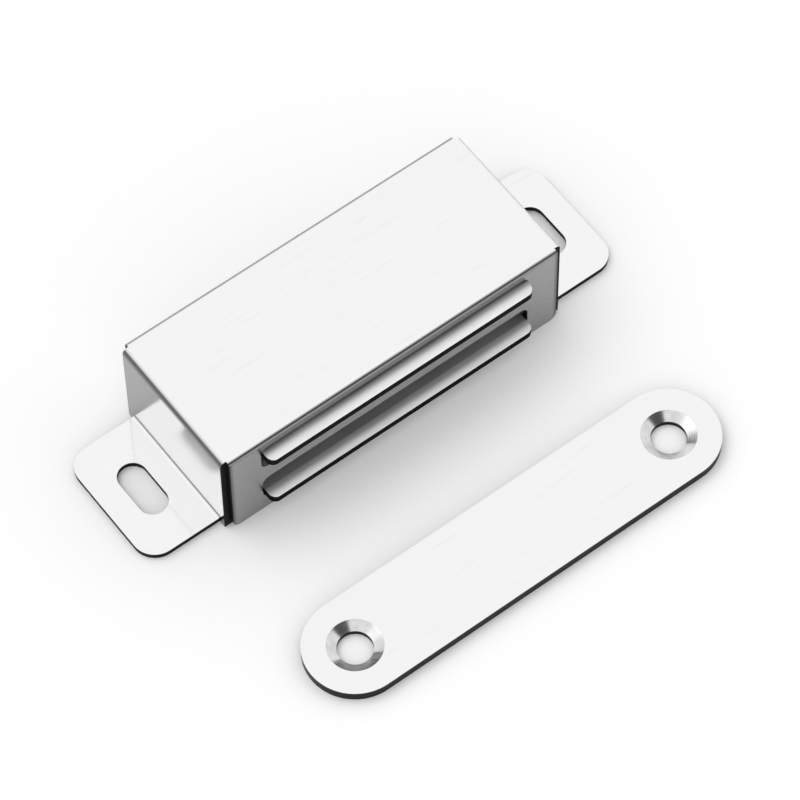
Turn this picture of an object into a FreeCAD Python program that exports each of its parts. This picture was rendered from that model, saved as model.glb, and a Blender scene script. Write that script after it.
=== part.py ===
import FreeCAD, Part
import os

import Sketcher

# Magnetic catch with its strike plate, in millimetres.
# The origin is the middle of the mounting face, between the two ear slots:
# X runs along the catch, the pole plates look out towards -Y, and Z points away from the face.

Vector = FreeCAD.Vector

doc = FreeCAD.newDocument("magnetic_catch")
sheet = doc.addObject("Spreadsheet::Sheet", "sizes")
sheet.Label = "sizes"

SIZES = [
    # folded sheet box
    ("box_length", "56.8", "outside length over the two end walls"),
    ("box_width", "23.8", "outside width over the front and back walls"),
    ("box_height", "16.6", "mounting face to the top face"),
    ("sheet_thickness", "0.9", "stainless sheet of the box and ears"),
    ("bend_inside", "0.1", "inside radius of the four top bends"),
    ("front_bend", "0.6", "outside radius over the front and back walls"),
    ("end_bend", "0.8", "outside radius over the end walls"),
    ("fold_inside", "0.3", "inside radius of the fold from end wall to ear"),
    ("fold_flat", "0.09", "sheet left beside the rounded outside of that fold"),
    ("corner_relief", "0.1", "long walls short of the end walls' inside, for folding"),
    ("end_wall_margin", "0.8", "end walls short of the box's width at each side, for folding"),
    ("wall_corner", "1.2", "rounding of the lower corners of the long walls"),
    # mounting ears
    ("ear_length", "11.6", "end wall face to the ear's end"),
    ("ear_width", "19.9", "width of each ear"),
    ("ear_corner", "3.4", "rounding of the ear's outer corners"),
    ("ear_slot_width", "4.3", "width of the screw slot"),
    ("ear_slot_length", "9.0", "length of the screw slot, end to end"),
    ("ear_slot_reach", "5.6", "end wall face to the middle of the slot"),
    # pole plates
    ("pole_thickness", "1.45", "thickness of each pole plate"),
    ("pole_margin", "6.3", "end wall face to the end of the nose that stands out"),
    ("pole_reach", "1.9", "how far the nose stands out of the front wall"),
    ("pole_corner", "1.1", "rounding of the nose's corners"),
    ("crown_length", "1.3", "how far back the nose's rolled upper edge begins"),
    ("crown_drop", "0.23", "how far the rolled upper edge falls to the pole face"),
    ("pole_shoulder", "1.5", "how much wider the plate is on each side inside the box"),
    ("pole_height", "3.2", "mounting face to the underside of the lower plate"),
    ("pole_headroom", "2.1", "top of the upper plate to the top face"),
    # magnet blocks
    ("magnet_side", "0.85", "row of blocks short of the plates at each side"),
    ("magnet_spacing", "0.4", "gap from one block to the next"),
    ("magnet_inset", "0.6", "front of the blocks behind the plates' shoulders"),
    ("magnet_back", "0.8", "back of the blocks in front of the plates' back edges"),
    ("magnet_edge", "0.5", "chamfer on the blocks' standing edges"),
    # slots in the front wall
    ("slot_height", "4.85", "height of each slot in the front wall"),
    ("slot_side_gap", "0.3", "nose to the slot's end, on each side"),
    ("slot_below", "0.6", "lower slot's edge below the lower plate"),
    ("slot_above", "0.65", "upper slot's edge above the upper plate"),
    ("slot_corner", "1.3", "rounding of the slots' corners"),
    # how the magnet pack floats
    ("shoulder_gap", "0.1", "plates' shoulders to the inside of the front wall"),
    ("float_travel", "1.0", "how far the pack can be pushed back"),
    ("pack_gap", "0.2", "pack to the carrier at its sides and at its pushed-back end"),
    ("seat_gap", "0.1", "lower plate to the carrier's rails"),
    # moulded carrier
    ("carrier_gap", "0.15", "carrier to the inside of the box"),
    ("carrier_foot", "0.3", "carrier's underside above the mounting face"),
    ("carrier_floor", "1.4", "thickness of the carrier's floor"),
    ("carrier_back", "3.55", "carrier behind the room of the pack"),
    ("carrier_skin", "1.0", "wall left on each side of the hollows"),
    ("hollow_roof", "1.2", "plastic left above the hollows"),
    ("rail_width", "2.0", "width of a rail on the carrier's floor"),
    ("rail_spacing", "12.0", "distance from rail to rail"),
    ("rail_count", "4", "number of rails"),
    # strike plate
    ("strike_thickness", "1.6", "thickness of the strike plate"),
    ("strike_width", "14.5", "width, and twice the radius of its round ends"),
    ("strike_hole_spacing", "53.1", "distance between its two screw holes"),
    ("strike_hole", "5.0", "diameter of a screw hole"),
    ("strike_sink", "7.8", "diameter of a countersink at the face"),
    ("strike_sink_depth", "0.8", "depth of a countersink"),
    ("strike_distance", "15.7", "pole faces to the plate's near edge, as laid out"),
    ("strike_shift", "0.9", "the plate's middle along X, as laid out"),
]

for number, (alias, text, meaning) in enumerate(SIZES, start=1):
    sheet.set("A%d" % number, alias)
    sheet.set("B%d" % number, text)
    sheet.set("C%d" % number, meaning)
    sheet.setAlias("B%d" % number, alias)
doc.recompute()


def size(alias):
    return float(sheet.get(alias))


# Values that follow from the sizes above, as expressions for the document.
FRONT_INSIDE = "(sizes.box_width / 2 - sizes.sheet_thickness)"
END_INSIDE = "(sizes.box_length / 2 - sizes.sheet_thickness)"
POLE_SHOULDER_FACE = "(%s - sizes.shoulder_gap)" % FRONT_INSIDE
POLE_FACE = "(sizes.box_width / 2 + sizes.pole_reach)"
CARRIER_HALF_LENGTH = "(%s - sizes.carrier_gap)" % END_INSIDE
CARRIER_HALF_WIDTH = "(%s - sizes.carrier_gap)" % FRONT_INSIDE

# How far an outline that only cuts runs past the solid.
PAST = "1"

# The magnet pack fills the box, so its sizes come from the box and the named clearances.
NOSE_HALF = "(sizes.box_length / 2 - sizes.pole_margin)"
PLATE_HALF = "(%s + sizes.pole_shoulder)" % NOSE_HALF
UPPER_POLE_HEIGHT = "(sizes.box_height - sizes.pole_headroom - sizes.pole_thickness)"
POCKET_BACK = "(%s - sizes.carrier_back)" % CARRIER_HALF_WIDTH
PLATE_BACK = "(%s - sizes.pack_gap - sizes.float_travel)" % POCKET_BACK
POCKET_HALF = "(%s + sizes.pack_gap)" % PLATE_HALF
SLOT_HALF = "(%s + sizes.slot_side_gap)" % NOSE_HALF
MAGNET_FRONT = "(%s - sizes.magnet_inset)" % POLE_SHOULDER_FACE
MAGNET_BACK = "(%s - sizes.magnet_back)" % PLATE_BACK
MAGNET_HEIGHT = "(%s - sizes.pole_height - sizes.pole_thickness)" % UPPER_POLE_HEIGHT
MAGNET_LENGTH = "(2 * (%s - sizes.magnet_side - sizes.magnet_spacing) / 3)" % PLATE_HALF


def new_body(label):
    body = doc.addObject("PartDesign::Body", label)
    body.Label = label
    return body


def new_sketch(body, name, role):
    sketch = body.newObject("Sketcher::SketchObject", name)
    for item in body.Origin.OriginFeatures:
        if item.Role == role:
            sketch.AttachmentSupport = (item, [""])
    sketch.MapMode = "FlatFace"
    return sketch


def bind(sketch, kind, start, end, text, guess):
    """A signed distance between two sketch points, tied to an expression."""
    index = sketch.addConstraint(Sketcher.Constraint(kind, *start, *end, guess))
    sketch.setExpression("Constraints[%d]" % index, text)


def add_rectangle(sketch, left, right, low, high):
    """A rectangle whose four sides are placed from the sketch's origin."""
    corners = [Vector(-1, -1), Vector(1, -1), Vector(1, 1), Vector(-1, 1)]
    lines = []
    for index in range(4):
        line = Part.LineSegment(corners[index], corners[(index + 1) % 4])
        lines.append(sketch.addGeometry(line))
    for index in range(4):
        after = lines[(index + 1) % 4]
        sketch.addConstraint(Sketcher.Constraint("Coincident", lines[index], 2, after, 1))
    for index in (0, 2):
        sketch.addConstraint(Sketcher.Constraint("Horizontal", lines[index]))
    for index in (1, 3):
        sketch.addConstraint(Sketcher.Constraint("Vertical", lines[index]))
    origin = (-1, 1)
    bind(sketch, "DistanceX", origin, (lines[0], 1), left, -1.0)
    bind(sketch, "DistanceX", origin, (lines[0], 2), right, 1.0)
    bind(sketch, "DistanceY", origin, (lines[0], 1), low, -1.0)
    bind(sketch, "DistanceY", origin, (lines[2], 1), high, 1.0)


def add_circle(sketch, across, along, diameter):
    """A circle placed from the sketch's origin."""
    circle = sketch.addGeometry(Part.Circle(Vector(1, 1), Vector(0, 0, 1), 1.0))
    origin = (-1, 1)
    bind(sketch, "DistanceX", origin, (circle, 3), across, 1.0)
    bind(sketch, "DistanceY", origin, (circle, 3), along, 1.0)
    index = sketch.addConstraint(Sketcher.Constraint("Diameter", circle, 2.0))
    sketch.setExpression("Constraints[%d]" % index, diameter)


def add_crown(sketch, front, top):
    """The waste above a nose's rolled edge: level where it begins, then falling along an arc."""
    back = "%s + sizes.crown_length" % front
    low = "%s - sizes.crown_drop" % top
    spots = [Vector(-1, 2), Vector(3, 2), Vector(3, 1), Vector(0, 0), Vector(-1, 0)]
    lines = []
    for start, end in ((0, 1), (1, 2), (3, 4), (4, 0)):
        lines.append(sketch.addGeometry(Part.LineSegment(spots[start], spots[end])))
    circle = Part.Circle(Vector(3, -4), Vector(0, 0, 1), 5)
    arc = sketch.addGeometry(Part.ArcOfCircle(circle, 1.5708, 2.2143))
    joins = ((lines[0], 2, lines[1], 1), (lines[1], 2, arc, 1), (arc, 2, lines[2], 1))
    joins += ((lines[2], 2, lines[3], 1), (lines[3], 2, lines[0], 1))
    for join in joins:
        sketch.addConstraint(Sketcher.Constraint("Coincident", *join))
    sketch.addConstraint(Sketcher.Constraint("Horizontal", lines[0]))
    sketch.addConstraint(Sketcher.Constraint("Vertical", lines[1]))
    sketch.addConstraint(Sketcher.Constraint("Horizontal", lines[2]))
    sketch.addConstraint(Sketcher.Constraint("Vertical", lines[3]))
    origin = (-1, 1)
    bind(sketch, "DistanceX", origin, (lines[0], 1), "%s - %s" % (front, PAST), -1.0)
    bind(sketch, "DistanceY", origin, (lines[0], 1), "%s + %s" % (top, PAST), 2.0)
    bind(sketch, "DistanceX", origin, (lines[1], 1), back, 3.0)
    bind(sketch, "DistanceY", origin, (arc, 1), top, 1.0)
    bind(sketch, "DistanceX", origin, (arc, 3), back, 3.0)
    bind(sketch, "DistanceX", origin, (arc, 2), front, 0.0)
    bind(sketch, "DistanceY", origin, (arc, 2), low, 0.0)


def pad(body, name, sketch, length, both_ways=False):
    feature = body.newObject("PartDesign::Pad", name)
    feature.Profile = sketch
    feature.setExpression("Length", length)
    if both_ways:
        feature.SideType = "Symmetric"
    sketch.Visibility = False
    doc.recompute()
    return feature


def pocket(body, name, sketch, length, turned=False, both_ways=False):
    """A cut that must take material away from the body."""
    before = body.Shape.Volume
    feature = body.newObject("PartDesign::Pocket", name)
    feature.Profile = sketch
    feature.setExpression("Length", length)
    feature.Reversed = turned
    if both_ways:
        feature.SideType = "Symmetric"
    sketch.Visibility = False
    doc.recompute()
    if not feature.Shape.Volume < before - 1e-6:
        raise RuntimeError("%s removes nothing" % name)
    return feature


def round_edges(body, name, points, radius, chamfer=False):
    """Round or chamfer the edges of the body's last feature that pass through the points."""
    base = body.Tip
    names = []
    for point in points:
        spot = Part.Vertex(point)
        for number, edge in enumerate(base.Shape.Edges, start=1):
            if edge.distToShape(spot)[0] < 1e-5:
                names.append("Edge%d" % number)
                break
        else:
            raise RuntimeError("%s finds no edge at %s" % (name, tuple(point)))
    if chamfer:
        feature = body.newObject("PartDesign::Chamfer", name)
        feature.setExpression("Size", radius)
    else:
        feature = body.newObject("PartDesign::Fillet", name)
        feature.setExpression("Radius", radius)
    feature.Base = (base, names)
    doc.recompute()
    return feature


# Folded stainless box with its two mounting ears: one sheet.
def make_shell():
    body = new_body("shell")
    half_length = size("box_length") / 2
    half_width = size("box_width") / 2
    height = size("box_height")
    sheet_thickness = size("sheet_thickness")
    wall_end = half_length - sheet_thickness - size("corner_relief")

    # The front and back walls stop short of the end walls, which leaves the corner notches.
    sketch = new_sketch(body, "long_walls_outline", "XY_Plane")
    add_rectangle(
        sketch,
        "-(%s - sizes.corner_relief)" % END_INSIDE,
        "%s - sizes.corner_relief" % END_INSIDE,
        "-sizes.box_width / 2",
        "sizes.box_width / 2",
    )
    pad(body, "long_walls", sketch, "sizes.box_height")
    points = [Vector(0, side * half_width, height) for side in (-1, 1)]
    round_edges(body, "long_bends", points, "sizes.front_bend")

    sketch = new_sketch(body, "end_walls_outline", "XY_Plane")
    add_rectangle(
        sketch,
        "-sizes.box_length / 2",
        "sizes.box_length / 2",
        "-(sizes.box_width / 2 - sizes.end_wall_margin)",
        "sizes.box_width / 2 - sizes.end_wall_margin",
    )
    pad(body, "end_walls", sketch, "sizes.box_height")
    points = [Vector(side * half_length, 0, height) for side in (-1, 1)]
    round_edges(body, "end_bends", points, "sizes.end_bend")

    sketch = new_sketch(body, "cavity_outline", "XY_Plane")
    add_rectangle(
        sketch,
        "-%s" % END_INSIDE,
        END_INSIDE,
        "-%s" % FRONT_INSIDE,
        FRONT_INSIDE,
    )
    pocket(body, "cavity", sketch, "sizes.box_height - sizes.sheet_thickness", turned=True)
    inside_top = height - sheet_thickness
    points = [Vector(0, side * (half_width - sheet_thickness), inside_top) for side in (-1, 1)]
    points += [Vector(side * (half_length - sheet_thickness), 0, inside_top) for side in (-1, 1)]
    round_edges(body, "bends_inside", points, "sizes.bend_inside")

    # Ears, folded outwards from the feet of the end walls.
    for name, side in (("left", -1), ("right", 1)):
        near = END_INSIDE
        far = "sizes.box_length / 2 + sizes.ear_length"
        sketch = new_sketch(body, "%s_ear_outline" % name, "XY_Plane")
        add_rectangle(
            sketch,
            "-(%s)" % far if side < 0 else near,
            "-(%s)" % near if side < 0 else far,
            "-sizes.ear_width / 2",
            "sizes.ear_width / 2",
        )
        pad(body, "%s_ear" % name, sketch, "sizes.sheet_thickness")
    points = [Vector(side * half_length, 0, sheet_thickness) for side in (-1, 1)]
    round_edges(body, "folds_inside", points, "sizes.fold_inside")
    points = [Vector(side * (half_length - sheet_thickness), 0, 0) for side in (-1, 1)]
    round_edges(body, "folds_outside", points, "sizes.sheet_thickness - sizes.fold_flat")
    ear_end = half_length + size("ear_length")
    points = []
    for side in (-1, 1):
        for flank in (-1, 1):
            flank_place = flank * size("ear_width") / 2
            points.append(Vector(side * ear_end, flank_place, sheet_thickness / 2))
    round_edges(body, "ear_corners", points, "sizes.ear_corner")

    # Screw slots, which run across the catch so that it can be set in or out.
    slot_place = "(sizes.box_length / 2 + sizes.ear_slot_reach)"
    slot_straight = "(sizes.ear_slot_length - sizes.ear_slot_width) / 2"
    for name, sign in (("left", "-"), ("right", "")):
        sketch = new_sketch(body, "%s_slot_middle" % name, "XY_Plane")
        add_rectangle(
            sketch,
            "%s%s - sizes.ear_slot_width / 2" % (sign, slot_place),
            "%s%s + sizes.ear_slot_width / 2" % (sign, slot_place),
            "-%s" % slot_straight,
            slot_straight,
        )
        pocket(body, "%s_slot" % name, sketch, "sizes.sheet_thickness", turned=True)
        for end, end_sign in (("front", "-"), ("back", "")):
            sketch = new_sketch(body, "%s_slot_%s_circle" % (name, end), "XY_Plane")
            add_circle(
                sketch,
                "%s%s" % (sign, slot_place),
                "%s%s" % (end_sign, slot_straight),
                "sizes.ear_slot_width",
            )
            pocket(body, "%s_slot_%s_end" % (name, end), sketch, "sizes.sheet_thickness", turned=True)

    # Two slots in the front wall for the pole plates.
    lower_slot = "(sizes.pole_height - sizes.slot_below)"
    upper_slot = "(%s + sizes.pole_thickness + sizes.slot_above)" % UPPER_POLE_HEIGHT
    sketch = new_sketch(body, "front_slots_outline", "XZ_Plane")
    add_rectangle(
        sketch,
        "-%s" % SLOT_HALF,
        SLOT_HALF,
        lower_slot,
        "%s + sizes.slot_height" % lower_slot,
    )
    add_rectangle(
        sketch,
        "-%s" % SLOT_HALF,
        SLOT_HALF,
        "%s - sizes.slot_height" % upper_slot,
        upper_slot,
    )
    pocket(body, "front_slots", sketch, "sizes.box_width / 2 + %s" % PAST, turned=True)
    low = size("pole_height") - size("slot_below")
    high = height - size("pole_headroom") + size("slot_above")
    levels = (low, low + size("slot_height"), high - size("slot_height"), high)
    slot_half = half_length - size("pole_margin") + size("slot_side_gap")
    wall_middle = -(half_width - sheet_thickness / 2)
    points = []
    for level in levels:
        for side in (-1, 1):
            points.append(Vector(side * slot_half, wall_middle, level))
    round_edges(body, "front_slot_corners", points, "sizes.slot_corner")

    # Lower corners of the front and back walls.
    points = []
    for side in (-1, 1):
        for flank in (-1, 1):
            points.append(Vector(side * wall_end, flank * wall_middle, 0))
    round_edges(body, "wall_corners", points, "sizes.wall_corner")
    return body


# One flat pole plate: a nose that stands out of the slot and shoulders held behind the wall.
def make_pole_plate(label, height):
    body = new_body(label)
    sketch = new_sketch(body, "plate_outline", "XY_Plane")
    add_rectangle(
        sketch,
        "-%s" % PLATE_HALF,
        PLATE_HALF,
        "-%s" % POLE_SHOULDER_FACE,
        PLATE_BACK,
    )
    pad(body, "plate", sketch, "sizes.pole_thickness")
    sketch = new_sketch(body, "nose_outline", "XY_Plane")
    add_rectangle(
        sketch,
        "-%s" % NOSE_HALF,
        NOSE_HALF,
        "-%s" % POLE_FACE,
        "-%s" % POLE_SHOULDER_FACE,
    )
    pad(body, "nose", sketch, "sizes.pole_thickness")
    front = -(size("box_width") / 2 + size("pole_reach"))
    nose_half = size("box_length") / 2 - size("pole_margin")
    middle = size("pole_thickness") / 2
    points = [Vector(side * nose_half, front, middle) for side in (-1, 1)]
    round_edges(body, "nose_corners", points, "sizes.pole_corner")
    sketch = new_sketch(body, "crown_outline", "YZ_Plane")
    add_crown(sketch, "-%s" % POLE_FACE, "sizes.pole_thickness")
    pocket(body, "crown", sketch, "sizes.box_length", both_ways=True)
    body.setExpression("Placement.Base.z", height)
    return body


# One magnet block, clamped by its own pull between the two plates.
def make_magnet(label, number):
    body = new_body(label)
    sketch = new_sketch(body, "block_outline", "XY_Plane")
    add_rectangle(
        sketch,
        "-%s / 2" % MAGNET_LENGTH,
        "%s / 2" % MAGNET_LENGTH,
        "-%s" % MAGNET_FRONT,
        MAGNET_BACK,
    )
    pad(body, "block", sketch, MAGNET_HEIGHT)
    box = body.Shape.BoundBox
    points = []
    for across in (box.XMin, box.XMax):
        for depth in (box.YMin, box.YMax):
            points.append(Vector(across, depth, box.ZMax / 2))
    round_edges(body, "block_edges", points, "sizes.magnet_edge", chamfer=True)
    body.setExpression("Placement.Base.x", "%d * (%s + sizes.magnet_spacing)" % (number, MAGNET_LENGTH))
    body.setExpression("Placement.Base.z", "sizes.pole_height + sizes.pole_thickness")
    return body


# Moulded carrier: floor, two ends and a back around the magnet pack, open at the front.
def make_carrier():
    body = new_body("carrier")
    sketch = new_sketch(body, "carrier_outline", "XY_Plane")
    add_rectangle(
        sketch,
        "-%s" % CARRIER_HALF_LENGTH,
        CARRIER_HALF_LENGTH,
        "-%s" % CARRIER_HALF_WIDTH,
        CARRIER_HALF_WIDTH,
    )
    wall_height = "sizes.box_height - sizes.sheet_thickness - sizes.carrier_gap - sizes.carrier_foot"
    pad(body, "carrier_block", sketch, wall_height)

    sketch = new_sketch(body, "pack_room_outline", "XY_Plane")
    add_rectangle(
        sketch,
        "-%s" % POCKET_HALF,
        POCKET_HALF,
        "-%s - %s" % (CARRIER_HALF_WIDTH, PAST),
        POCKET_BACK,
    )
    sketch.setExpression("AttachmentOffset.Base.z", "sizes.carrier_floor")
    pocket(body, "pack_room", sketch, "sizes.box_height", turned=True)

    # Hollows from below keep the moulding's walls thin.
    sketch = new_sketch(body, "hollows_outline", "XY_Plane")
    inner = "(%s + sizes.carrier_skin)" % POCKET_HALF
    outer = "(%s - sizes.carrier_skin)" % CARRIER_HALF_LENGTH
    front = "-(%s - sizes.carrier_skin)" % CARRIER_HALF_WIDTH
    back = "%s - sizes.carrier_skin" % CARRIER_HALF_WIDTH
    add_rectangle(sketch, "-%s" % outer, "-%s" % inner, front, back)
    add_rectangle(sketch, inner, outer, front, back)
    add_rectangle(
        sketch,
        "-(%s - 2 * sizes.carrier_skin)" % POCKET_HALF,
        "%s - 2 * sizes.carrier_skin" % POCKET_HALF,
        "%s + sizes.carrier_skin" % POCKET_BACK,
        back,
    )
    pocket(body, "hollows", sketch, "%s - sizes.hollow_roof" % wall_height, turned=True)

    # Rails that the lower plate slides on.
    sketch = new_sketch(body, "rail_outline", "XY_Plane")
    first = "(sizes.rail_count - 1) * sizes.rail_spacing / 2"
    add_rectangle(
        sketch,
        "-%s - sizes.rail_width / 2" % first,
        "-%s + sizes.rail_width / 2" % first,
        "-%s" % CARRIER_HALF_WIDTH,
        POCKET_BACK,
    )
    rail_top = "sizes.pole_height - sizes.seat_gap - sizes.carrier_foot"
    rail = pad(body, "rail", sketch, rail_top)
    rails = body.newObject("PartDesign::LinearPattern", "rails")
    rails.Originals = [rail]
    rails.Direction = (sketch, ["H_Axis"])
    rails.setExpression("Length", "(sizes.rail_count - 1) * sizes.rail_spacing")
    rails.setExpression("Occurrences", "sizes.rail_count")
    body.Tip = rails
    body.setExpression("Placement.Base.z", "sizes.carrier_foot")
    doc.recompute()
    return body


# Flat strike plate for the door, lying in front of the catch.
def make_strike_plate():
    body = new_body("strike_plate")
    half_spacing = "sizes.strike_hole_spacing / 2"
    sketch = new_sketch(body, "bar_outline", "XY_Plane")
    add_rectangle(
        sketch,
        "-%s" % half_spacing,
        half_spacing,
        "-sizes.strike_width / 2",
        "sizes.strike_width / 2",
    )
    pad(body, "bar", sketch, "sizes.strike_thickness")
    for name, sign in (("left", "-"), ("right", "")):
        sketch = new_sketch(body, "%s_end_outline" % name, "XY_Plane")
        add_circle(sketch, "%s%s" % (sign, half_spacing), "0", "sizes.strike_width")
        pad(body, "%s_end" % name, sketch, "sizes.strike_thickness")

    # Screw holes with shallow countersinks on the face that meets the magnets.
    sketch = new_sketch(body, "hole_outline", "XY_Plane")
    for sign in ("-", ""):
        add_circle(sketch, "%s%s" % (sign, half_spacing), "0", "sizes.strike_hole")
    pocket(body, "holes", sketch, "sizes.strike_thickness", turned=True)
    body.setExpression("Placement.Base.x", "sizes.strike_shift")
    body.setExpression(
        "Placement.Base.y",
        "-(%s + sizes.strike_distance + sizes.strike_width / 2)" % POLE_FACE,
    )
    rim = size("strike_hole_spacing") / 2 - size("strike_hole") / 2
    names = []
    for side in (-1, 1):
        spot = Part.Vertex(Vector(side * rim, 0, size("strike_thickness")))
        for number, edge in enumerate(body.Tip.Shape.Edges, start=1):
            if edge.distToShape(spot)[0] < 1e-5 and edge.Curve.TypeId == "Part::GeomCircle":
                names.append("Edge%d" % number)
    before = body.Shape.Volume
    sinks = body.newObject("PartDesign::Chamfer", "countersinks")
    sinks.Base = (body.getObject("holes"), names)
    sinks.ChamferType = "Two distances"
    sinks.setExpression("Size", "(sizes.strike_sink - sizes.strike_hole) / 2")
    sinks.setExpression("Size2", "sizes.strike_sink_depth")
    doc.recompute()
    if not sinks.Shape.Volume < before:
        raise RuntimeError("the countersinks remove nothing")
    return body


bodies = [
    make_shell(),
    make_pole_plate("lower_pole_plate", "sizes.pole_height"),
    make_pole_plate("upper_pole_plate", UPPER_POLE_HEIGHT),
    make_magnet("left_magnet", -1),
    make_magnet("middle_magnet", 0),
    make_magnet("right_magnet", 1),
    make_carrier(),
    make_strike_plate(),
]
doc.recompute()

for item in doc.Objects:
    if "Invalid" in item.State or "Error" in item.State:
        raise RuntimeError("%s did not compute: %s" % (item.Label, item.State))

os.makedirs("parts", exist_ok=True)
for body in bodies:
    shape = body.Shape
    if shape.isNull() or not shape.isValid() or len(shape.Solids) != 1:
        raise RuntimeError("%s is not one sound solid" % body.Label)
    box = shape.BoundBox
    print(
        "%-18s volume %9.2f  x %7.2f %7.2f  y %7.2f %7.2f  z %6.2f %6.2f"
        % (body.Label, shape.Volume, box.XMin, box.XMax, box.YMin, box.YMax, box.ZMin, box.ZMax)
    )
    shape.exportStep(os.path.join("parts", "%s.step" % body.Label))
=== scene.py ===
import bpy
from mathutils import Matrix, Vector

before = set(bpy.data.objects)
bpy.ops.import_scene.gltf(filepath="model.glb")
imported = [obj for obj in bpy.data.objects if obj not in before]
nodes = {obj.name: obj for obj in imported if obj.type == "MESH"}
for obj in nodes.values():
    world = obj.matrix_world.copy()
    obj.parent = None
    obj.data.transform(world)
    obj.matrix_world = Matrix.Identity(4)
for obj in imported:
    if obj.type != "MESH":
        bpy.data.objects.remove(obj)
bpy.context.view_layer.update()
MM = 0.001

# Camera: the photograph's viewpoint, with a long lens.
FORWARD = Vector((0.30123885, 0.41151541, -0.86018034))
RIGHT = Vector((0.7983061, -0.60219163, -0.00852184))
UP = Vector((0.52150027, 0.6841201, 0.50991877))
EYE = Vector((-193.505, -277.021, 559.144)) * MM
IMAGE_WIDTH = 800
FOCAL_PIXELS = 4758.861
SENSOR = 36.0
camera_data = bpy.data.cameras.new("camera")
camera_data.sensor_width = SENSOR
camera_data.lens = FOCAL_PIXELS / IMAGE_WIDTH * SENSOR
camera_data.clip_start = 0.01
camera_data.clip_end = 20.0
camera = bpy.data.objects.new("camera", camera_data)
bpy.context.scene.collection.objects.link(camera)
turn = Matrix((RIGHT, UP, -FORWARD)).transposed()
camera.matrix_world = Matrix.Translation(EYE) @ turn.to_4x4()
bpy.context.scene.camera = camera
bpy.context.scene.view_settings.view_transform = "Standard"

# The part as it is built, in millimetres. Faces are told apart by where they lie.
END_WALL = 28.4
EAR_FLANK = 9.95
END_WALL_EDGE = 11.1
LONG_WALL_END = 27.4
LONG_WALL_INSIDE = 11.0
LONG_WALL_FACE = 11.9
BEND_START = 15.9
FOLD_TOP = 3.0
POLE_FACE = 13.8
NOSE_ROLL = 12.6
LOWER_PLATE = 5.0
UPPER_PLATE = 13.0
HOLE_MIDDLE = 0.9
HOLE_REACH = 26.55
HOLE_ROW = -36.75
SINK_RADIUS = 3.9

# How squarely a face has to look along an axis to count as facing it.
SQUARE = 0.9
HALF = 0.5
FULLY = 0.99
FLAT = 0.95

# Steel: reflectance of the bare metal, and the painted shade that makes sheared edges almost black.
STEEL = 0.87
CUT_EDGE_SHADE = (0.012, 0.012, 0.012, 1)
CUT_ROUGH = 0.35
GRAIN = 2500.0
GRAIN_STRETCH = (0.04, 1.0, 1.0)
CLOUDS = 60.0
SCUFFS = 900.0
SCUFF_STRETCH = (0.15, 1.0, 1.0)
MIDDLE = (0.3, 0.7)

# Painted shade against the face's slope, darker on the walls and in dark lines along the bends and ear
# folds: 0 on the top, 1 on the wall below the bend.
WALL_SHADE = 0.39
END_WALL_SHADE = 0.33
LONG_BEND_SHADE = ((0.0, 1.0), (0.1, 0.84), (0.2, 0.5), (0.3, 0.45), (0.42, 0.45), (0.55, 0.25), (0.75, 0.24),
             (0.99, WALL_SHADE))
LEFT_BEND_SHADE = ((0.0, 1.0), (0.03, 0.93), (0.06, 0.81), (0.12, 0.57), (0.18, 0.38), (0.3, 0.34), (0.42, 0.37),
             (0.52, 0.27), (0.62, 0.18), (0.85, 0.13), (1.0, END_WALL_SHADE))
RIGHT_BEND_SHADE = ((0.0, 1.0), (0.5, 0.95), (0.85, 0.3), (1.0, END_WALL_SHADE))
EAR_FOLD_SHADE = ((0.0, 1.0), (0.05, 0.86), (0.12, 0.6), (0.2, 0.42), (0.42, 0.44), (0.52, 0.86), (0.96, 1.0),
            (1.0, END_WALL_SHADE))
EAVES_SHADE = 0.4
WALL_END_SHADE = 0.35
WALL_END_SHADE_LENGTH = 0.7
PIERCED_SHADE_SHARE = 0.45
TOP_ROUGH = 0.08
LONG_WALL_ROUGH = 0.26
END_WALL_ROUGH = 0.17

# Turned countersinks of the strike plate, darker overall as painted shade.
RING_PITCH = 0.22
RING_WANDER = 2.5
RING_TONE = 0.85
RING_HEIGHT = 1.5
SINK_SHADE = -0.12
SINK_STAIN = 0.8
STRIKE_ROUGH = 0.10
SINK_ROUGH = 0.06

# Plated pole plates, each value for the lower and the upper one: painted shade inside the slots, a painted
# highlight towards the pole face.
SLOT_SHADE = (0.45, 0.66)
HIGHLIGHT_CURVE = (0.35, 1.3)
NOSE_FALL = (-0.1, 0.0)
POLE_ROUGH = (0.56, 0.5)
HIGHLIGHT_TONE = 1.1

# Studio.
FLOOR_HALF = 3.0
FLOOR_DROP = 0.00005
FLOOR_COLOUR = (0.945, 0.945, 0.945, 1)
SKY = 1.04
SOFT_BOX = Vector((-0.30, 0.41, 0.86)).normalized()
SOFT_BOX_EDGE = (0.91, 0.97)
SOFT_BOX_LIGHT = 1.25
DARK_CARD = Vector((0.20, -0.63, 0.75)).normalized()
DARK_CARD_EDGE = (0.92, 0.965)
DARK_CARD_LIGHT = 0.1


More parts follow.
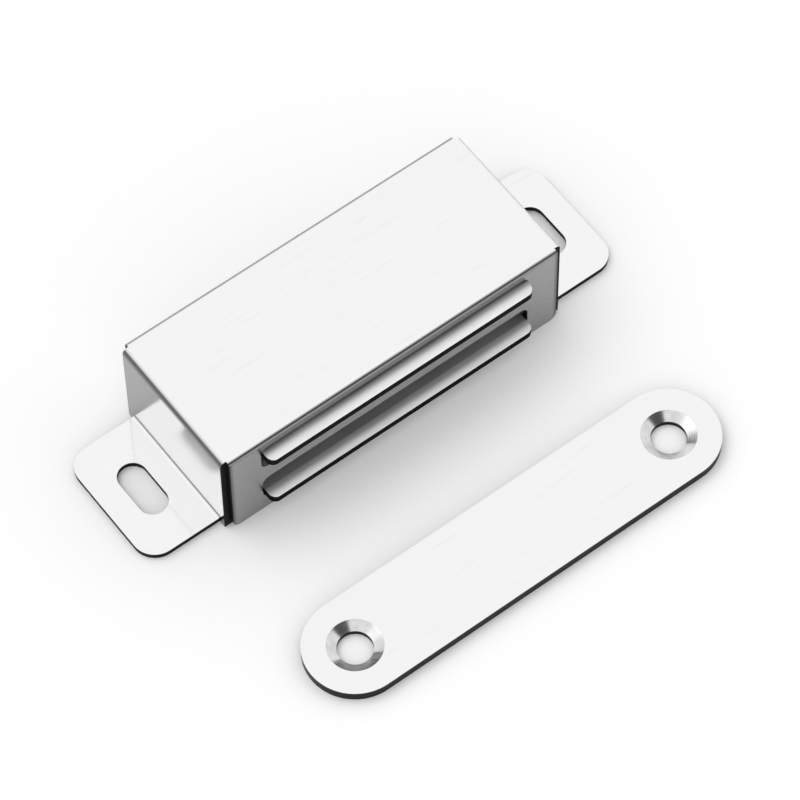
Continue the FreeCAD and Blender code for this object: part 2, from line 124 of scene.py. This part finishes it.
class Nodes:
    """Short calls for making a node tree."""

    def __init__(self, tree):
        self.tree = tree

    def add(self, kind, inputs=None, **settings):
        node = self.tree.nodes.new(kind)
        for name, value in settings.items():
            setattr(node, name, value)
        for key, value in (inputs or {}).items():
            if isinstance(value, bpy.types.NodeSocket):
                self.tree.links.new(value, node.inputs[key])
            else:
                node.inputs[key].default_value = value
        return node

    def math(self, operation, a, b=0.0, c=0.0):
        return self.add("ShaderNodeMath", {0: a, 1: b, 2: c}, operation=operation).outputs[0]

    def vector(self, operation, a, b=(0.0, 0.0, 0.0)):
        return self.add("ShaderNodeVectorMath", {0: a, 1: b}, operation=operation)

    def parts(self, vector):
        """The X, Y and Z of a vector."""
        return self.add("ShaderNodeSeparateXYZ", {0: vector}).outputs[:]

    def span(self, value, low, high, to_low, to_high, smooth=False):
        """The value moved from one range to another, held at the ends."""
        kind = "SMOOTHSTEP" if smooth else "LINEAR"
        keys = {"Value": value, "From Min": low, "From Max": high, "To Min": to_low, "To Max": to_high}
        return self.add("ShaderNodeMapRange", keys, interpolation_type=kind).outputs["Result"]

    def ramp(self, value, stops):
        """A grey level that runs through the stops, each a place and a level."""
        node = self.add("ShaderNodeValToRGB", {"Fac": value})
        steps = node.color_ramp.elements
        while len(steps) < len(stops):
            steps.new(0.5)
        for step, (place, level) in zip(steps, stops):
            step.position = place
            step.color = (level, level, level, 1)
        return node.outputs["Color"]

    def above(self, value, limit):
        return self.math("GREATER_THAN", value, limit)

    def below(self, value, limit):
        return self.math("LESS_THAN", value, limit)

    def near(self, value, place, reach=0.05):
        return self.math("COMPARE", value, place, reach)

    def product(self, *values):
        """The product of numbers. Of masks it is where all of them hold."""
        result = values[0]
        for value in values[1:]:
            result = self.math("MULTIPLY", result, value)
        return result

    def any(self, *masks):
        result = masks[0]
        for mask in masks[1:]:
            result = self.math("MAXIMUM", result, mask)
        return result

    def blend(self, share, a, b):
        """A number between a and b."""
        return self.add("ShaderNodeMix", {0: share, 2: a, 3: b}).outputs[0]

    def mix(self, share, a, b):
        """A colour between a and b."""
        node = self.add("ShaderNodeMix", data_type="RGBA")
        for key, value in (("Factor_Float", share), ("A_Color", a), ("B_Color", b)):
            socket = next(item for item in node.inputs if item.identifier == key)
            if isinstance(value, bpy.types.NodeSocket):
                self.tree.links.new(value, socket)
            else:
                socket.default_value = value
        return next(item for item in node.outputs if item.identifier == "Result_Color")

    def noise(self, place, scale, detail=3.0, stretch=(1.0, 1.0, 1.0)):
        mapped = self.add("ShaderNodeMapping", {"Vector": place, "Scale": stretch}).outputs[0]
        keys = {"Vector": mapped, "Scale": scale, "Detail": detail}
        return self.add("ShaderNodeTexNoise", keys).outputs["Fac"]

    def link(self, socket, shader, name):
        self.tree.links.new(socket, shader.inputs[name])


def new_material(name):
    material = bpy.data.materials.new(name)
    material.use_nodes = True
    tree = material.node_tree
    tree.nodes.clear()
    build = Nodes(tree)
    shader = build.add("ShaderNodeBsdfPrincipled")
    output = build.add("ShaderNodeOutputMaterial")
    tree.links.new(shader.outputs["BSDF"], output.inputs["Surface"])
    return material, build, shader


def object_place(build):
    return build.add("ShaderNodeTexCoord").outputs["Object"]


def millimetres(build, place):
    scaled = build.vector("SCALE", place)
    scaled.inputs["Scale"].default_value = 1 / MM
    return scaled.outputs[0]


def distances(build, place):
    """How far the spot is from the origin along X, Y and Z, in millimetres, whichever way."""
    return build.parts(build.vector("ABSOLUTE", millimetres(build, place)).outputs[0])


def facings(build, normal):
    """How squarely the face looks along X, Y and Z, whichever way."""
    return build.parts(build.vector("ABSOLUTE", normal).outputs[0])


def face_normal(build):
    return build.add("ShaderNodeNewGeometry").outputs["True Normal"]


def bumped(build, shader, height, strength, distance):
    keys = {"Height": height, "Strength": strength, "Distance": distance}
    build.link(build.add("ShaderNodeBump", keys).outputs[0], shader, "Normal")


def steel_finish(build, shader, place, tone, rough, shaded_cuts):
    """Rolled steel with a fine grain along X, scaled by the tone, which holds painted shade and painted
    highlight as well as real marks, and painted almost black as painted shade where it is sheared.
    """
    lines = build.noise(place, GRAIN, 4.0, GRAIN_STRETCH)
    cloud = build.noise(place, CLOUDS, 2.0)
    scuffs = build.noise(place, SCUFFS, 6.0, SCUFF_STRETCH)
    level = build.span(lines, *MIDDLE, STEEL * 0.985, STEEL * 1.005)
    level = build.product(level, tone, build.span(scuffs, 0.62, 0.75, 1.0, 0.97))
    colour = build.add("ShaderNodeCombineColor", {0: level, 1: level, 2: level}).outputs[0]
    build.link(build.mix(shaded_cuts, colour, CUT_EDGE_SHADE), shader, "Base Color")
    grain = build.span(lines, *MIDDLE, -0.025, 0.025)
    patches = build.span(cloud, 0.35, 0.65, -0.015, 0.015)
    uneven = build.math("ADD", build.math("ADD", grain, patches), rough)
    uneven = build.math("ADD", uneven, build.product(shaded_cuts, CUT_ROUGH))
    build.link(uneven, shader, "Roughness")
    shader.inputs["Metallic"].default_value = 1.0
    return lines


def shell_material():
    material, build, shader = new_material("polished_stainless")
    place = object_place(build)
    normal = face_normal(build)
    x, y, z = distances(build, place)
    to_x, to_y, to_z = facings(build, normal)

    # Sheared edges, painted almost black as painted shade: of the ears, of both kinds of wall, and lighter
    # in the pierced slots.
    ear_edges = build.product(build.above(x, END_WALL + 0.35), build.below(to_z, HALF))
    ear_flanks = build.product(build.near(y, EAR_FLANK), build.above(to_y, SQUARE))
    wall_edges = build.product(build.near(y, END_WALL_EDGE), build.above(to_y, SQUARE))
    wall_ends = build.product(build.near(x, LONG_WALL_END), build.above(to_x, SQUARE))
    in_long_wall = build.product(build.above(y, LONG_WALL_INSIDE - 0.02), build.below(z, BEND_START))
    slot_edges = build.product(in_long_wall, build.below(to_y, HALF))
    pierced = build.product(slot_edges, PIERCED_SHADE_SHARE)
    shaded_cuts = build.any(ear_edges, ear_flanks, wall_edges, wall_ends, pierced)

    # Painted shade: the walls are darker than the top and the bends and ear folds carry dark lines, by
    # which way each face looks, with the right end's bend lighter than the left's.
    long_bend_shade = build.ramp(to_y, LONG_BEND_SHADE)
    # Painted shade: the end walls darken just under the top bend.
    eaves_shade = build.span(z, BEND_START - 0.7, BEND_START - 0.1, 1.0, EAVES_SHADE, smooth=True)
    eaves_shade = build.any(eaves_shade, build.below(to_x, FULLY))
    left_end_shade = build.product(build.ramp(to_x, LEFT_BEND_SHADE), eaves_shade)
    to_right = build.above(build.parts(normal)[0], 0.0)
    end_shade = build.blend(to_right, left_end_shade, build.ramp(to_x, RIGHT_BEND_SHADE))
    end_shade = build.blend(build.below(z, FOLD_TOP), end_shade, build.ramp(to_x, EAR_FOLD_SHADE))
    # Painted shade: the outer faces of the long walls darken towards their ends.
    long_face = build.product(build.above(y, LONG_WALL_FACE - 0.1), build.above(to_y, SQUARE))
    end_falloff = build.span(x, LONG_WALL_END - WALL_END_SHADE_LENGTH, LONG_WALL_END, 1.0, WALL_END_SHADE, smooth=True)
    tone = build.product(long_bend_shade, end_shade, build.blend(long_face, 1.0, end_falloff))

    long_rough = build.span(to_y, HALF, SQUARE, TOP_ROUGH, LONG_WALL_ROUGH)
    end_rough = build.span(to_x, HALF, SQUARE, TOP_ROUGH, END_WALL_ROUGH)
    rough = build.any(long_rough, end_rough)
    lines = steel_finish(build, shader, place, tone, rough, shaded_cuts)
    bumped(build, shader, lines, 0.12, 0.00001)
    return material


def strike_material():
    material, build, shader = new_material("polished_strike_steel")
    place = object_place(build)
    to_z = facings(build, face_normal(build))[2]
    flat = build.vector("MULTIPLY", millimetres(build, place), (1.0, 1.0, 0.0)).outputs[0]
    gaps = []
    for side in (-1, 1):
        centre = (HOLE_MIDDLE + side * HOLE_REACH, HOLE_ROW, 0.0)
        gaps.append(build.vector("DISTANCE", flat, centre).outputs["Value"])
    gap = build.math("MINIMUM", *gaps)
    sink = build.product(build.below(gap, SINK_RADIUS), build.below(to_z, FLAT))
    uneven = build.noise(place, 700.0)
    turns = build.product(gap, 6.2832 / RING_PITCH)
    rings = build.math("SINE", build.math("MULTIPLY_ADD", uneven, RING_WANDER, turns))
    rings = build.product(rings, sink)
    # Painted shade darkens the countersinks overall, on top of the turned rings.
    tone = build.math("MULTIPLY_ADD", sink, SINK_SHADE, build.span(rings, -1.0, 0.0, RING_TONE, 1.0))
    stain = build.span(build.product(sink, uneven), 0.35, 0.7, 1.0, SINK_STAIN)
    rough = build.math("MULTIPLY_ADD", sink, SINK_ROUGH, STRIKE_ROUGH)
    # Sheared edges are painted almost black as painted shade.
    lines = steel_finish(build, shader, place, build.product(tone, stain), rough, build.below(to_z, HALF))
    height = build.math("ADD", lines, build.product(rings, RING_HEIGHT))
    bumped(build, shader, height, 0.15, 0.00001)
    return material


def pole_material():
    """One material for both plates: painted shade inside the slots, painted highlight brighter towards the
    pole face.
    """
    material, build, shader = new_material("plated_pole_steel")
    place = object_place(build)
    y, z = distances(build, place)[1:]
    # Sheared edges are painted almost black as painted shade.
    shaded_cuts = build.below(facings(build, face_normal(build))[2], HALF)

    def by_plate(levels):
        return build.span(z, LOWER_PLATE, UPPER_PLATE, *levels)

    outward = build.span(y, LONG_WALL_FACE, POLE_FACE, 0.0, 1.0)
    slot_shade_and_highlight = build.math("POWER", outward, by_plate(HIGHLIGHT_CURVE))
    slot_shade_and_highlight = build.span(slot_shade_and_highlight, 0.0, 1.0, by_plate(SLOT_SHADE), HIGHLIGHT_TONE)
    cloud = build.noise(place, 350.0, 4.0, (0.3, 1.0, 1.0))
    tone = build.product(slot_shade_and_highlight, build.span(cloud, *MIDDLE, 0.93, 1.03))
    lines = steel_finish(build, shader, place, tone, by_plate(POLE_ROUGH), shaded_cuts)
    past_roll = build.math("MAXIMUM", build.math("SUBTRACT", y, NOSE_ROLL), 0.0)
    end_falloff = build.product(build.math("POWER", past_roll, 2.0), by_plate(NOSE_FALL))
    bumped(build, shader, build.math("MULTIPLY_ADD", lines, 0.003, end_falloff), 1.0, MM)
    return material


def dull_material(name, colour, rough, grain, bump):
    material, build, shader = new_material(name)
    speck = build.noise(object_place(build), grain, 6.0)
    low = [part * 0.7 for part in colour]
    build.link(build.mix(speck, (*low, 1), (*colour, 1)), shader, "Base Color")
    build.link(build.span(speck, *MIDDLE, rough - 0.08, rough + 0.08), shader, "Roughness")
    bumped(build, shader, speck, bump, 0.00003)
    return material


def dress(names, material):
    for name in names:
        mesh = nodes[name].data
        mesh.materials.clear()
        mesh.materials.append(material)


dress(["shell"], shell_material())
dress(["strike_plate"], strike_material())
dress(["lower_pole_plate", "upper_pole_plate"], pole_material())
ferrite = dull_material("ferrite", (0.21, 0.21, 0.215), 0.6, 4000.0, 0.5)
dress(["left_magnet", "middle_magnet", "right_magnet"], ferrite)
dress(["carrier"], dull_material("black_plastic", (0.1, 0.1, 0.102), 0.5, 1800.0, 0.35))

# Pale floor, just below the part.
floor_mesh = bpy.data.meshes.new("floor")
corners = [(-1, -1), (1, -1), (1, 1), (-1, 1)]
corners = [(x * FLOOR_HALF, y * FLOOR_HALF, -FLOOR_DROP) for x, y in corners]
floor_mesh.from_pydata(corners, [], [(0, 1, 2, 3)])
floor = bpy.data.objects.new("floor", floor_mesh)
bpy.context.scene.collection.objects.link(floor)
floor_material, build, shader = new_material("floor")
shader.inputs["Base Color"].default_value = FLOOR_COLOUR
shader.inputs["Roughness"].default_value = 0.9
shader.inputs["Specular IOR Level"].default_value = 0.0
floor_mesh.materials.append(floor_material)

# Even studio sky, with a soft box up behind the left and a dark card up in front.
world = bpy.data.worlds.new("studio")
bpy.context.scene.world = world
world.use_nodes = True
world.node_tree.nodes.clear()
build = Nodes(world.node_tree)
way = build.add("ShaderNodeTexCoord").outputs["Generated"]
to_box = build.vector("DOT_PRODUCT", way, tuple(SOFT_BOX)).outputs["Value"]
to_card = build.vector("DOT_PRODUCT", way, tuple(DARK_CARD)).outputs["Value"]
box_light = build.span(to_box, *SOFT_BOX_EDGE, 0.0, SOFT_BOX_LIGHT, smooth=True)
open_sky = build.span(to_card, *DARK_CARD_EDGE, SKY, DARK_CARD_LIGHT, smooth=True)
glow = build.math("ADD", box_light, open_sky)
light = build.add("ShaderNodeBackground", {"Color": (1, 1, 1, 1), "Strength": glow})
output = build.add("ShaderNodeOutputWorld")
world.node_tree.links.new(light.outputs[0], output.inputs["Surface"])
